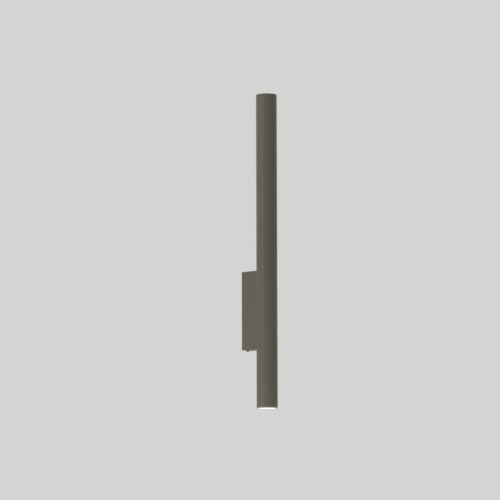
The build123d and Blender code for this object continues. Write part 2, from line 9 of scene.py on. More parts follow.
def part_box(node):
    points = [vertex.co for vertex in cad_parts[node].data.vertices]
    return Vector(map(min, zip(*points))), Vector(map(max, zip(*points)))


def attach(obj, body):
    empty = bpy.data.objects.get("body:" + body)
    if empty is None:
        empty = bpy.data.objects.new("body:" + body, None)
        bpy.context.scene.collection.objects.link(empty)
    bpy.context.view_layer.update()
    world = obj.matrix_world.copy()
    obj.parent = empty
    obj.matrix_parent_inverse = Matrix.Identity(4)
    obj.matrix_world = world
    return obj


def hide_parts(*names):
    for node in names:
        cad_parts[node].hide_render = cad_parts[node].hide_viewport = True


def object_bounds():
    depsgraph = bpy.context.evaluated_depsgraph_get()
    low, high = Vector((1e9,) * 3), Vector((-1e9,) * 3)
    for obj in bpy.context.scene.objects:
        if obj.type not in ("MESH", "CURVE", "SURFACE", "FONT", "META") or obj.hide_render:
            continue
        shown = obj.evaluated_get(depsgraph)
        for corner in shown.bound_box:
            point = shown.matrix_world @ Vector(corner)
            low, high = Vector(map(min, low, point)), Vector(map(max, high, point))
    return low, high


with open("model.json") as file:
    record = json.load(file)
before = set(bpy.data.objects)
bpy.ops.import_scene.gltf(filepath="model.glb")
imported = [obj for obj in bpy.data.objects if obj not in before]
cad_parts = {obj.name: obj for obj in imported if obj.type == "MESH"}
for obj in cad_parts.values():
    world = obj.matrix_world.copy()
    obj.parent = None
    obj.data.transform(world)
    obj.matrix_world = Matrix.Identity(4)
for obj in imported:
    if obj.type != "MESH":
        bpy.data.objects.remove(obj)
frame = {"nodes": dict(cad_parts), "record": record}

cadLow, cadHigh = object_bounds()
nodes = frame["nodes"]
print("frame loaded:", len(nodes), "nodes")


# the camera stands where the photograph was taken from
cameraLook = {
    "place": (-2.9911, -2.9304, -0.3696),
    "heading": 45.683,  # degrees to the right of straight ahead, along y
    "pitch": 6.650,
    "roll": -0.106,
    "lens": 158.12,
    "sensor": 36.0,
    "clipNear": 0.05,
    "clipFar": 60.0,
}


def makeCamera(look):
    heading, pitch, roll = (math.radians(look[key]) for key in ("heading", "pitch", "roll"))
    level = Vector((math.sin(heading), math.cos(heading), 0))
    side = level.cross(Vector((0, 0, 1)))
    forward = level * math.cos(pitch) + Vector((0, 0, math.sin(pitch)))
    upward = side.cross(forward)
    side = side * math.cos(roll) + upward * math.sin(roll)
    upward = side.cross(forward)
    data = bpy.data.cameras.new("photoCamera")
    data.sensor_width = look["sensor"]
    data.lens = look["lens"]
    data.clip_start = look["clipNear"]
    data.clip_end = look["clipFar"]
    camera = bpy.data.objects.new("photoCamera", data)
    turn = Matrix((side, upward, -forward)).transposed().to_4x4()
    camera.matrix_world = Matrix.Translation(look["place"]) @ turn
    bpy.context.scene.collection.objects.link(camera)
    bpy.context.scene.camera = camera


makeCamera(cameraLook)
print("camera set")


# short ways to place and link shader nodes
mixColours = (6, 7)  # a Mix node's two colour inputs
mixResult = 2  # and its colour output


def addNode(tree, kind, **settings):
    node = tree.nodes.new(kind)
    for name, value in settings.items():
        setattr(node, name, value)
    return node


def setInput(node, name, value):
    node.inputs[name].default_value = value


def newGroup(name, ins, outs):
    tree = bpy.data.node_groups.new(name, "ShaderNodeTree")
    for label, kind, value in ins:
        socket = tree.interface.new_socket(label, in_out="INPUT", socket_type=kind)
        if value is not None:
            socket.default_value = value
    for label, kind in outs:
        tree.interface.new_socket(label, in_out="OUTPUT", socket_type=kind)
    return tree, tree.nodes.new("NodeGroupInput"), tree.nodes.new("NodeGroupOutput")


def objectPlace(tree):
    return addNode(tree, "ShaderNodeTexCoord").outputs["Object"]


def mathNode(tree, operation, first, second=None, clamp=False):
    node = addNode(tree, "ShaderNodeMath", operation=operation, use_clamp=clamp)
    for slot, value in enumerate((first, second)):
        if value is None:
            continue
        if isinstance(value, (int, float)):
            node.inputs[slot].default_value = value
        else:
            tree.links.new(value, node.inputs[slot])
    return node.outputs[0]


def vectorNode(tree, operation, first, second=None):
    node = addNode(tree, "ShaderNodeVectorMath", operation=operation)
    tree.links.new(first, node.inputs[0])
    if isinstance(second, tuple):
        node.inputs[1].default_value = second
    elif second is not None:
        tree.links.new(second, node.inputs[1])
    return node


def noiseNode(tree, vector, scale, detail=3.0, roughness=0.5):
    node = addNode(tree, "ShaderNodeTexNoise")
    setInput(node, "Detail", detail)
    setInput(node, "Roughness", roughness)
    if isinstance(scale, (int, float)):
        setInput(node, "Scale", scale)
    else:
        tree.links.new(scale, node.inputs["Scale"])
    tree.links.new(vector, node.inputs["Vector"])
    return node.outputs["Fac"]


def mixColour(tree, factor, first, second):
    node = addNode(tree, "ShaderNodeMix", data_type="RGBA")
    tree.links.new(factor, node.inputs["Factor"])
    for slot, value in zip(mixColours, (first, second)):
        if isinstance(value, list):
            node.inputs[slot].default_value = value
        else:
            tree.links.new(value, node.inputs[slot])
    return node.outputs[mixResult]


# effects that several finishes share
driftMix = {
    "detail": 4.0,
    "roughness": 0.6,
    "fineTimes": 9.0,  # how much smaller the second blotches are
    "fineDetail": 2.0,
    "wideShare": 0.7,
    "fineShare": 0.3,
    "from": 0.32,
    "to": 0.68,
}


def makeDriftGroup(mix):
    # two sizes of soft blotches that shift a colour between two tints
    tree, given, result = newGroup(
        "toneDrift",
        [
            ("Light", "NodeSocketColor", None),
            ("Dark", "NodeSocketColor", None),
            ("Scale", "NodeSocketFloat", 20.0),
        ],
        [("Colour", "NodeSocketColor"), ("Blotch", "NodeSocketFloat")],
    )
    place = objectPlace(tree)
    scale = given.outputs["Scale"]
    wide = noiseNode(tree, place, scale, mix["detail"], mix["roughness"])
    fineScale = mathNode(tree, "MULTIPLY", scale, mix["fineTimes"])
    fine = noiseNode(tree, place, fineScale, mix["fineDetail"])
    both = mathNode(tree, "ADD", mathNode(tree, "MULTIPLY", wide, mix["wideShare"]),
                    mathNode(tree, "MULTIPLY", fine, mix["fineShare"]))
    spread = addNode(tree, "ShaderNodeMapRange")
    setInput(spread, "From Min", mix["from"])
    setInput(spread, "From Max", mix["to"])
    tree.links.new(both, spread.inputs["Value"])
    blend = mixColour(tree, spread.outputs[0], given.outputs["Dark"], given.outputs["Light"])
    tree.links.new(blend, result.inputs["Colour"])
    tree.links.new(spread.outputs[0], result.inputs["Blotch"])
    return tree


powderMix = {
    "smooth": 0.6,
    "cellShare": 0.5,
    "waveTimes": 0.22,  # slow waves under the pimples
    "waveShare": 0.6,
    "gritTimes": 0.8,
    "gritDetail": 1.0,
    "gritLevel": 0.66,
}


def makePowderGroup(mix):
    # the fine pimpled skin of baked powder paint
    tree, given, result = newGroup(
        "powderSkin",
        [("Scale", "NodeSocketFloat", 1500.0)],
        [("Height", "NodeSocketFloat"), ("Speck", "NodeSocketFloat")],
    )
    place = objectPlace(tree)
    scale = given.outputs["Scale"]
    cells = addNode(tree, "ShaderNodeTexVoronoi", feature="SMOOTH_F1")
    setInput(cells, "Smoothness", mix["smooth"])
    tree.links.new(place, cells.inputs["Vector"])
    tree.links.new(scale, cells.inputs["Scale"])
    waves = noiseNode(tree, place, mathNode(tree, "MULTIPLY", scale, mix["waveTimes"]))
    height = mathNode(tree, "ADD",
                      mathNode(tree, "MULTIPLY", cells.outputs["Distance"], mix["cellShare"]),
                      mathNode(tree, "MULTIPLY", waves, mix["waveShare"]))
    tree.links.new(height, result.inputs["Height"])
    gritScale = mathNode(tree, "MULTIPLY", scale, mix["gritTimes"])
    grit = noiseNode(tree, place, gritScale, mix["gritDetail"])
    speck = mathNode(tree, "GREATER_THAN", grit, mix["gritLevel"])
    tree.links.new(speck, result.inputs["Speck"])
    return tree


brushMix = {"detail": 5.0, "roughness": 0.65}


def makeBrushGroup(mix):
    # rolled or drawn metal: long lines along one axis, set by the stretch
    tree, given, result = newGroup(
        "rolledLines",
        [("Stretch", "NodeSocketVector", (1.0, 1.0, 1.0)), ("Scale", "NodeSocketFloat", 900.0)],
        [("Lines", "NodeSocketFloat")],
    )
    pull = vectorNode(tree, "MULTIPLY", objectPlace(tree), given.outputs["Stretch"])
    lines = noiseNode(tree, pull.outputs[0], given.outputs["Scale"], mix["detail"], mix["roughness"])
    tree.links.new(lines, result.inputs["Lines"])
    return tree


edgeMix = {
    "samples": 4,
    "patches": 420.0,
    "detail": 4.0,
    "roughness": 0.65,
    "gain": 5.0,
}


def makeEdgeGroup(mix):
    # a mask along worn edges: where the rounded normal leaves the true one
    tree, given, result = newGroup(
        "edgeRub",
        [("Width", "NodeSocketFloat", 0.0005), ("Amount", "NodeSocketFloat", 0.5)],
        [("Mask", "NodeSocketFloat"), ("Normal", "NodeSocketVector")],
    )
    rounded = addNode(tree, "ShaderNodeBevel", samples=mix["samples"])
    tree.links.new(given.outputs["Width"], rounded.inputs["Radius"])
    plain = addNode(tree, "ShaderNodeNewGeometry").outputs["Normal"]
    compare = vectorNode(tree, "DOT_PRODUCT", rounded.outputs[0], plain)
    turned = mathNode(tree, "SUBTRACT", 1.0, compare.outputs["Value"], clamp=True)
    strong = mathNode(tree, "MULTIPLY", turned, mix["gain"], clamp=True)
    patchy = noiseNode(tree, objectPlace(tree), mix["patches"], mix["detail"], mix["roughness"])
    worn = mathNode(tree, "MULTIPLY", strong, patchy)
    mask = mathNode(tree, "MULTIPLY", worn, given.outputs["Amount"], clamp=True)
    tree.links.new(mask, result.inputs["Mask"])
    tree.links.new(rounded.outputs[0], result.inputs["Normal"])
    return tree


scuffMix = {
    "bend": 0.004,  # how far a scratch wanders
    "bendScale": 35.0,
    "scratchWidth": 0.006,
    "breakScale": 90.0,
    "breakDetail": 2.0,
    "breakLevel": 0.6,
    "smearScale": 28.0,
    "smearDetail": 5.0,
    "smearRoughness": 0.7,
}


def makeScuffGroup(mix):
    # sparse fine scratches and finger marks that change the gloss alone
    tree, given, result = newGroup(
        "handling",
        [("Scale", "NodeSocketFloat", 60.0)],
        [("Scratch", "NodeSocketFloat"), ("Smear", "NodeSocketFloat")],
    )
    place = objectPlace(tree)
    drift = addNode(tree, "ShaderNodeTexNoise")
    setInput(drift, "Scale", mix["bendScale"])
    tree.links.new(place, drift.inputs["Vector"])
    wobble = vectorNode(tree, "SCALE", drift.outputs["Color"])
    setInput(wobble, "Scale", mix["bend"])
    bent = vectorNode(tree, "ADD", place, wobble.outputs[0])
    lines = addNode(tree, "ShaderNodeTexVoronoi", feature="DISTANCE_TO_EDGE")
    tree.links.new(bent.outputs[0], lines.inputs["Vector"])
    tree.links.new(given.outputs["Scale"], lines.inputs["Scale"])
    thin = mathNode(tree, "LESS_THAN", lines.outputs["Distance"], mix["scratchWidth"])
    breaks = noiseNode(tree, place, mix["breakScale"], mix["breakDetail"])
    broken = mathNode(tree, "GREATER_THAN", breaks, mix["breakLevel"])
    tree.links.new(mathNode(tree, "MULTIPLY", thin, broken), result.inputs["Scratch"])
    smear = noiseNode(tree, place, mix["smearScale"], mix["smearDetail"], mix["smearRoughness"])
    tree.links.new(smear, result.inputs["Smear"])
    return tree


driftGroup = makeDriftGroup(driftMix)
powderGroup = makePowderGroup(powderMix)
brushGroup = makeBrushGroup(brushMix)
edgeGroup = makeEdgeGroup(edgeMix)
scuffGroup = makeScuffGroup(scuffMix)
print("shared effects built:", len(bpy.data.node_groups))


# what every finish is put together from
def linear(colour):
    # colours are noted as they look on screen, 0 to 255
    return [
        (c / 255) / 12.92 if c / 255 <= 0.04045 else ((c / 255 + 0.055) / 1.055) ** 2.4
        for c in colour
    ] + [1.0]


def startMaterial(name):
    material = bpy.data.materials.new(name)
    material.use_nodes = True
    tree = material.node_tree
    return material, tree, tree.nodes["Principled BSDF"]


def placeGroup(tree, group, **values):
    node = addNode(tree, "ShaderNodeGroup", node_tree=group)
    for name, value in values.items():
        setInput(node, name, value)
    return node


def placeDrift(tree, light, dark, scale):
    return placeGroup(tree, driftGroup, Light=linear(light), Dark=linear(dark), Scale=scale)


def linkRoughness(tree, shader, mask, low, high):
    spread = addNode(tree, "ShaderNodeMapRange")
    setInput(spread, "To Min", low)
    setInput(spread, "To Max", high)
    tree.links.new(mask, spread.inputs["Value"])
    tree.links.new(spread.outputs[0], shader.inputs["Roughness"])


def linkBump(tree, shader, height, depth, normal=None):
    bump = addNode(tree, "ShaderNodeBump")
    setInput(bump, "Strength", 1.0)
    setInput(bump, "Distance", depth)
    tree.links.new(height, bump.inputs["Height"])
    if normal is not None:
        tree.links.new(normal, bump.inputs["Normal"])
    tree.links.new(bump.outputs[0], shader.inputs["Normal"])


# the paint of the tube and the box, with a painted glow on the paint near the tube's lower rim
paintLook = {
    "light": (97, 92, 80),
    "dark": (93, 88, 76),
    "rubbed": (120, 115, 102),
    "grit": (80, 76, 66),
    "gritShare": 0.25,
    "blotch": 9.0,
    "skin": 1700.0,
    "skinDepth": 0.00006,
    "gloss": (0.46, 0.6),
    "specular": 0.4,
    "edge": 0.0006,
    "edgeAmount": 0.55,
    "marks": 55.0,
    "smearShare": 0.8,
    "scratchShare": 0.3,
    "paintedRimGlow": (255, 232, 202),  # painted glow: the paint itself emits this warm colour near the lower rim, in place of lamplight creeping round it
    "paintedGlowReach": 0.006,
    "paintedGlowFall": 3.0,
    "paintedGlowStrength": 0.34,
}


def makePaint(look):
    material, tree, shader = startMaterial("sandGreyPaint")
    drift = placeDrift(tree, look["light"], look["dark"], look["blotch"])
    powder = placeGroup(tree, powderGroup, Scale=look["skin"])
    edge = placeGroup(tree, edgeGroup, Width=look["edge"], Amount=look["edgeAmount"])
    marks = placeGroup(tree, scuffGroup, Scale=look["marks"])
    gritMask = mathNode(tree, "MULTIPLY", powder.outputs["Speck"], look["gritShare"])
    gritty = mixColour(tree, gritMask, drift.outputs["Colour"], linear(look["grit"]))
    worn = mixColour(tree, edge.outputs["Mask"], gritty, linear(look["rubbed"]))
    tree.links.new(worn, shader.inputs["Base Color"])
    smear = mathNode(tree, "MULTIPLY", marks.outputs["Smear"], look["smearShare"])
    scratch = mathNode(tree, "MULTIPLY", marks.outputs["Scratch"], look["scratchShare"])
    linkRoughness(tree, shader, mathNode(tree, "ADD", smear, scratch, clamp=True), *look["gloss"])
    linkBump(tree, shader, powder.outputs["Height"], look["skinDepth"], edge.outputs["Normal"])
    # painted glow: warm emission on the paint, strongest at the tube's lower end and fading out a
    # few millimetres above it
    split = addNode(tree, "ShaderNodeSeparateXYZ")
    tree.links.new(objectPlace(tree), split.inputs[0])
    aboveRim = mathNode(tree, "SUBTRACT", split.outputs["Z"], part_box("body_tube")[0].z)
    share = mathNode(tree, "DIVIDE", aboveRim, look["paintedGlowReach"])
    fade = mathNode(tree, "SUBTRACT", 1.0, share, clamp=True)
    fade = mathNode(tree, "POWER", fade, look["paintedGlowFall"])
    paintedRimGlow = mixColour(tree, fade, [0.0, 0.0, 0.0, 1.0], linear(look["paintedRimGlow"]))
    tree.links.new(paintedRimGlow, shader.inputs["Emission Color"])
    shader.inputs["Emission Strength"].default_value = look["paintedGlowStrength"]
    shader.inputs["Specular IOR Level"].default_value = look["specular"]
    return material


# plated, drawn and cast metals
metalMix = {"edgeAmount": 0.8, "lineShare": 0.6, "smearShare": 0.4, "scratchShare": 0.6}
metalLooks = {
    "zincSheet": {
        "light": (196, 198, 200), "dark": (168, 172, 178), "rubbed": (222, 223, 224),
        "blotch": 55.0, "stretch": (1.0, 1.0, 0.04), "lines": 1400.0, "marks": 60.0,
        "metallic": 1.0, "gloss": (0.24, 0.5), "depth": 0.00003, "edge": 0.0003,
    },
    "machinedAluminium": {
        "light": (206, 207, 210), "dark": (186, 187, 190), "rubbed": (228, 228, 230),
        "blotch": 60.0, "stretch": (1.0, 0.05, 1.0), "lines": 1600.0, "marks": 70.0,
        "metallic": 1.0, "gloss": (0.26, 0.44), "depth": 0.00003, "edge": 0.0003,
    },
    "castAluminium": {
        "light": (205, 205, 204), "dark": (182, 183, 184), "rubbed": (226, 226, 226),
        "blotch": 120.0, "stretch": (1.0, 1.0, 1.0), "lines": 2600.0, "marks": 90.0,
        "metallic": 1.0, "gloss": (0.34, 0.52), "depth": 0.00005, "edge": 0.0002,
    },
    "screwZinc": {
        "light": (192, 192, 190), "dark": (160, 160, 158), "rubbed": (224, 223, 220),
        "blotch": 200.0, "stretch": (1.0, 1.0, 1.0), "lines": 3200.0, "marks": 150.0,
        "metallic": 1.0, "gloss": (0.22, 0.4), "depth": 0.00002, "edge": 0.0002,
    },
    "blackOxide": {
        "light": (44, 43, 42), "dark": (26, 26, 27), "rubbed": (110, 108, 104),
        "blotch": 260.0, "stretch": (1.0, 1.0, 1.0), "lines": 3200.0, "marks": 150.0,
        "metallic": 0.9, "gloss": (0.3, 0.48), "depth": 0.00002, "edge": 0.0002,
    },
    "plainBrass": {
        "light": (206, 172, 104), "dark": (180, 142, 78), "rubbed": (230, 202, 140),
        "blotch": 150.0, "stretch": (1.0, 1.0, 0.1), "lines": 2600.0, "marks": 120.0,
        "metallic": 1.0, "gloss": (0.24, 0.42), "depth": 0.00002, "edge": 0.0002,
    },
    "tinnedCopper": {
        "light": (202, 199, 194), "dark": (176, 170, 162), "rubbed": (222, 208, 190),
        "blotch": 170.0, "stretch": (1.0, 1.0, 1.0), "lines": 2400.0, "marks": 110.0,
        "metallic": 1.0, "gloss": (0.28, 0.46), "depth": 0.00002, "edge": 0.0002,
    },
    "nickelPin": {
        "light": (214, 212, 206), "dark": (192, 190, 184), "rubbed": (234, 232, 226),
        "blotch": 220.0, "stretch": (1.0, 1.0, 0.08), "lines": 3600.0, "marks": 160.0,
        "metallic": 1.0, "gloss": (0.16, 0.3), "depth": 0.00001, "edge": 0.0001,
    },
    "mirrorCoat": {
        "light": (236, 236, 234), "dark": (222, 222, 220), "rubbed": (244, 244, 242),
        "blotch": 90.0, "stretch": (1.0, 1.0, 1.0), "lines": 1200.0, "marks": 90.0,
        "metallic": 1.0, "gloss": (0.08, 0.18), "depth": 0.00002, "edge": 0.0002,
    },
}


def makeMetal(name, look, mix):
    material, tree, shader = startMaterial(name)
    drift = placeDrift(tree, look["light"], look["dark"], look["blotch"])
    lines = placeGroup(tree, brushGroup, Stretch=look["stretch"], Scale=look["lines"])
    edge = placeGroup(tree, edgeGroup, Width=look["edge"], Amount=mix["edgeAmount"])
    marks = placeGroup(tree, scuffGroup, Scale=look["marks"])
    worn = mixColour(tree, edge.outputs["Mask"], drift.outputs["Colour"], linear(look["rubbed"]))
    tree.links.new(worn, shader.inputs["Base Color"])
    shader.inputs["Metallic"].default_value = look["metallic"]
    polish = mathNode(tree, "ADD",
                      mathNode(tree, "MULTIPLY", lines.outputs["Lines"], mix["lineShare"]),
                      mathNode(tree, "MULTIPLY", marks.outputs["Smear"], mix["smearShare"]))
    linkRoughness(tree, shader, polish, *look["gloss"])
    scratch = mathNode(tree, "MULTIPLY", marks.outputs["Scratch"], mix["scratchShare"])
    height = mathNode(tree, "SUBTRACT", lines.outputs["Lines"], scratch)
    linkBump(tree, shader, height, look["depth"], edge.outputs["Normal"])
    return material


# moulded plastics, rubber, ceramic and cable insulation
plasticMix = {
    "edgeAmount": 0.35,
    "marks": 80.0,
    "glowReach": (0.002, 0.0017, 0.0014),  # how deep light sinks in, in metres
}
plasticLooks = {
    "blackRubber": {
        "light": (46, 45, 44), "dark": (30, 30, 30), "rubbed": (74, 72, 70),
        "blotch": 90.0, "skin": 2600.0, "gloss": (0.55, 0.8), "depth": 0.00004, "edge": 0.0003,
    },
    "naturalNylon": {
        "light": (232, 227, 212), "dark": (216, 209, 190), "rubbed": (242, 239, 228),
        "blotch": 80.0, "skin": 2200.0, "gloss": (0.3, 0.48), "depth": 0.00003, "edge": 0.0004,
        "glow": 0.25,
    },
    "whiteHousing": {
        "light": (226, 226, 222), "dark": (214, 214, 209), "rubbed": (236, 236, 233),
        "blotch": 40.0, "skin": 1800.0, "gloss": (0.4, 0.6), "depth": 0.00005, "edge": 0.0004,
    },
    "lampPlastic": {
        "light": (228, 226, 219), "dark": (214, 211, 203), "rubbed": (238, 236, 230),
        "blotch": 120.0, "skin": 2400.0, "gloss": (0.3, 0.46), "depth": 0.00003, "edge": 0.0003,
    },
    "clearSilicone": {
        "light": (214, 213, 206), "dark": (196, 195, 188), "rubbed": (228, 227, 222),
        "blotch": 160.0, "skin": 2600.0, "gloss": (0.32, 0.5), "depth": 0.00003, "edge": 0.0002,
        "glow": 0.5,
    },
    "steatite": {
        "light": (232, 228, 216), "dark": (214, 208, 194), "rubbed": (240, 237, 228),
        "blotch": 110.0, "skin": 2000.0, "gloss": (0.5, 0.72), "depth": 0.00006, "edge": 0.0004,
    },
    "brownInsulation": {
        "light": (112, 70, 44), "dark": (92, 56, 36), "rubbed": (134, 92, 64),
        "blotch": 90.0, "skin": 2600.0, "gloss": (0.32, 0.5), "depth": 0.00002, "edge": 0.0002,
    },
    "blueInsulation": {
        "light": (44, 92, 168), "dark": (34, 74, 142), "rubbed": (78, 122, 186),
        "blotch": 90.0, "skin": 2600.0, "gloss": (0.32, 0.5), "depth": 0.00002, "edge": 0.0002,
    },
    "whiteSleeve": {
        "light": (228, 227, 221), "dark": (210, 208, 201), "rubbed": (238, 237, 233),
        "blotch": 90.0, "skin": 2600.0, "gloss": (0.45, 0.65), "depth": 0.00003, "edge": 0.0002,
    },
    "floorSweep": {
        "light": (226, 226, 224), "dark": (224, 224, 222), "rubbed": (226, 226, 224),
        "blotch": 1.5, "skin": 400.0, "gloss": (0.85, 0.95), "depth": 0.00002, "edge": 0.001,
    },
}


def makePlastic(name, look, mix):
    material, tree, shader = startMaterial(name)
    drift = placeDrift(tree, look["light"], look["dark"], look["blotch"])
    powder = placeGroup(tree, powderGroup, Scale=look["skin"])
    edge = placeGroup(tree, edgeGroup, Width=look["edge"], Amount=mix["edgeAmount"])
    marks = placeGroup(tree, scuffGroup, Scale=mix["marks"])
    worn = mixColour(tree, edge.outputs["Mask"], drift.outputs["Colour"], linear(look["rubbed"]))
    tree.links.new(worn, shader.inputs["Base Color"])
    linkRoughness(tree, shader, marks.outputs["Smear"], *look["gloss"])
    linkBump(tree, shader, powder.outputs["Height"], look["depth"], edge.outputs["Normal"])
    if "glow" in look:
        shader.inputs["Subsurface Weight"].default_value = look["glow"]
        shader.inputs["Subsurface Radius"].default_value = mix["glowReach"]
    return material


# the earth lead's two colours, side by side along it
earthLook = {
    "greenLight": (74, 148, 62),
    "greenDark": (56, 126, 50),
    "yellowLight": (226, 204, 52),
    "yellowDark": (204, 180, 40),
    "seam": 0.0001,  # the lead lies in the plane x = 0
    "blotch": 90.0,
    "skin": 2600.0,
    "gloss": (0.32, 0.5),
    "depth": 0.00002,
}


def makeEarthInsulation(look):
    material, tree, shader = startMaterial("earthInsulation")
    split = addNode(tree, "ShaderNodeSeparateXYZ")
    tree.links.new(objectPlace(tree), split.inputs[0])
    side = mathNode(tree, "GREATER_THAN", split.outputs["X"], look["seam"])
    green = placeDrift(tree, look["greenLight"], look["greenDark"], look["blotch"])
    yellow = placeDrift(tree, look["yellowLight"], look["yellowDark"], look["blotch"])
    both = mixColour(tree, side, green.outputs["Colour"], yellow.outputs["Colour"])
    tree.links.new(both, shader.inputs["Base Color"])
    linkRoughness(tree, shader, green.outputs["Blotch"], *look["gloss"])
    powder = placeGroup(tree, powderGroup, Scale=look["skin"])
    linkBump(tree, shader, powder.outputs["Height"], look["depth"])
    return material


# the driver's board: green lacquer, with darker parts standing on it
boardLook = {
    "lacquer": (24, 92, 52),
    "track": (34, 108, 62),
    "gap": (18, 74, 42),
    "trackScale": 160.0,
    "trackDepth": 0.00005,
    "partLight": (46, 44, 42),
    "partDark": (30, 29, 28),
    "blotch": 120.0,
    "gloss": (0.25, 0.45),
    "thickness": 0.0036,  # the board with the feet under it
    "skim": 0.0001,
}


def makeCircuitBoard(look):
    material, tree, shader = startMaterial("circuitBoard")
    place = objectPlace(tree)
    tracks = addNode(tree, "ShaderNodeTexBrick")
    setInput(tracks, "Scale", look["trackScale"])
    setInput(tracks, "Color1", linear(look["lacquer"]))
    setInput(tracks, "Color2", linear(look["track"]))
    setInput(tracks, "Mortar", linear(look["gap"]))
    tree.links.new(place, tracks.inputs["Vector"])
    drift = placeDrift(tree, look["partLight"], look["partDark"], look["blotch"])
    split = addNode(tree, "ShaderNodeSeparateXYZ")
    tree.links.new(place, split.inputs[0])
    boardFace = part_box("driver_board")[1].y - look["thickness"]
    raised = mathNode(tree, "LESS_THAN", split.outputs["Y"], boardFace - look["skim"])
    both = mixColour(tree, raised, tracks.outputs["Color"], drift.outputs["Colour"])
    tree.links.new(both, shader.inputs["Base Color"])
    linkRoughness(tree, shader, drift.outputs["Blotch"], *look["gloss"])
    linkBump(tree, shader, tracks.outputs["Fac"], look["trackDepth"])
    return material


# the frosted lens, lit from behind and hottest in the middle
lensLook = {
    "core": (255, 250, 240),
    "rim": (255, 232, 200),
    "strength": 3.5,
    "rimShare": 0.8,  # brightness left at the edge
    "coreShare": 0.9,  # share of the radius at full brightness
    "frost": 2200.0,
    "frostDetail": 2.0,
    "frostShare": 0.25,
    "faceDark": (240, 238, 230),
    "faceLight": (250, 248, 242),
    "gloss": (0.38, 0.6),
    "rings": 700.0,  # moulded rings in each metre of radius
    "ringDepth": 0.00003,
}


def makeLitLens(look):
    material, tree, shader = startMaterial("litFrostedLens")
    place = objectPlace(tree)
    lensLow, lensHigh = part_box("upper_lamp_lens")
    axisY = (lensLow.y + lensHigh.y) / 2
    lensRadius = (lensHigh.x - lensLow.x) / 2
    shift = vectorNode(tree, "SUBTRACT", place, (0.0, axisY, 0.0))
    flat = vectorNode(tree, "MULTIPLY", shift.outputs[0], (1.0, 1.0, 0.0))
    reach = vectorNode(tree, "LENGTH", flat.outputs[0]).outputs["Value"]
    outward = addNode(tree, "ShaderNodeMapRange", interpolation_type="SMOOTHSTEP")
    setInput(outward, "From Min", lensRadius * look["coreShare"])
    setInput(outward, "From Max", lensRadius)
    tree.links.new(reach, outward.inputs["Value"])
    frost = noiseNode(tree, place, look["frost"], look["frostDetail"])
    grain = mathNode(tree, "MULTIPLY", mathNode(tree, "SUBTRACT", frost, 0.5), look["frostShare"])
    edge = mathNode(tree, "ADD", outward.outputs[0], grain, clamp=True)
    dim = [share * look["rimShare"] for share in linear(look["rim"])[:3]] + [1.0]
    glow = mixColour(tree, edge, linear(look["core"]), dim)
    tree.links.new(glow, shader.inputs["Emission Color"])
    shader.inputs["Emission Strength"].default_value = look["strength"]
    face = mixColour(tree, frost, linear(look["faceDark"]), linear(look["faceLight"]))
    tree.links.new(face, shader.inputs["Base Color"])
    linkRoughness(tree, shader, frost, *look["gloss"])
    rings = mathNode(tree, "SINE", mathNode(tree, "MULTIPLY", reach, look["rings"] * 2 * math.pi))
    linkBump(tree, shader, mathNode(tree, "ADD", rings, frost), look["ringDepth"])
    return material


# the lamp's light board, seen only with the lens away
ledLook = {
    "light": (240, 238, 228),
    "dark": (226, 222, 210),
    "phosphor": (250, 222, 150),
    "blotch": 120.0,
    "cells": 500.0,
    "cellDepth": 0.00004,
    "gloss": (0.3, 0.5),
    "strength": 3.0,
}


def makeLedBoard(look):
    material, tree, shader = startMaterial("ledBoard")
    drift = placeDrift(tree, look["light"], look["dark"], look["blotch"])
    cells = addNode(tree, "ShaderNodeTexVoronoi")
    setInput(cells, "Scale", look["cells"])
    tree.links.new(objectPlace(tree), cells.inputs["Vector"])
    distance = cells.outputs["Distance"]
    warm = mixColour(tree, distance, drift.outputs["Colour"], linear(look["phosphor"]))
    tree.links.new(warm, shader.inputs["Base Color"])
    tree.links.new(warm, shader.inputs["Emission Color"])
    shader.inputs["Emission Strength"].default_value = look["strength"]
    linkRoughness(tree, shader, drift.outputs["Blotch"], *look["gloss"])
    linkBump(tree, shader, distance, look["cellDepth"])
    return material


finishes = {name: makeMetal(name, look, metalMix) for name, look in metalLooks.items()}
finishes.update({name: makePlastic(name, look, plasticMix) for name, look in plasticLooks.items()})
finishes["sandGreyPaint"] = makePaint(paintLook)
finishes["earthInsulation"] = makeEarthInsulation(earthLook)
finishes["circuitBoard"] = makeCircuitBoard(boardLook)
finishes["litFrostedLens"] = makeLitLens(lensLook)
finishes["ledBoard"] = makeLedBoard(ledLook)

# which finish each of the record's material slots takes
slotFinish = {
    "painted_body": "sandGreyPaint",
    "zinc_steel": "zincSheet",
    "aluminium": "machinedAluminium",
    "screw_steel": "screwZinc",
    "black_steel": "blackOxide",
    "grommet_rubber": "blackRubber",
    "nylon": "naturalNylon",
    "brass": "plainBrass",
    "tinned_copper": "tinnedCopper",
    "driver_plastic": "whiteHousing",
    "circuit_board": "circuitBoard",
    "lead_brown": "brownInsulation",
    "lead_blue": "blueInsulation",
    "lead_green_yellow": "earthInsulation",
    "lead_white": "whiteSleeve",
    "lamp_aluminium": "castAluminium",
    "lamp_lens": "litFrostedLens",
    "reflector": "mirrorCoat",
    "led_board": "ledBoard",
    "lamp_base": "lampPlastic",
    "pin_steel": "nickelPin",
    "clear_silicone": "clearSilicone",
    "ceramic": "steatite",
}
nodeSlot = {part["node"]: part["material_slot"] for part in frame["record"]["subparts"]}
for nodeName, piece in nodes.items():
    finish = finishes[slotFinish[nodeSlot[nodeName]]]
    if not piece.material_slots:
        piece.data.materials.append(finish)
    for slot in piece.material_slots:
        slot.material = finish
print("finishes on", len(nodes), "nodes")


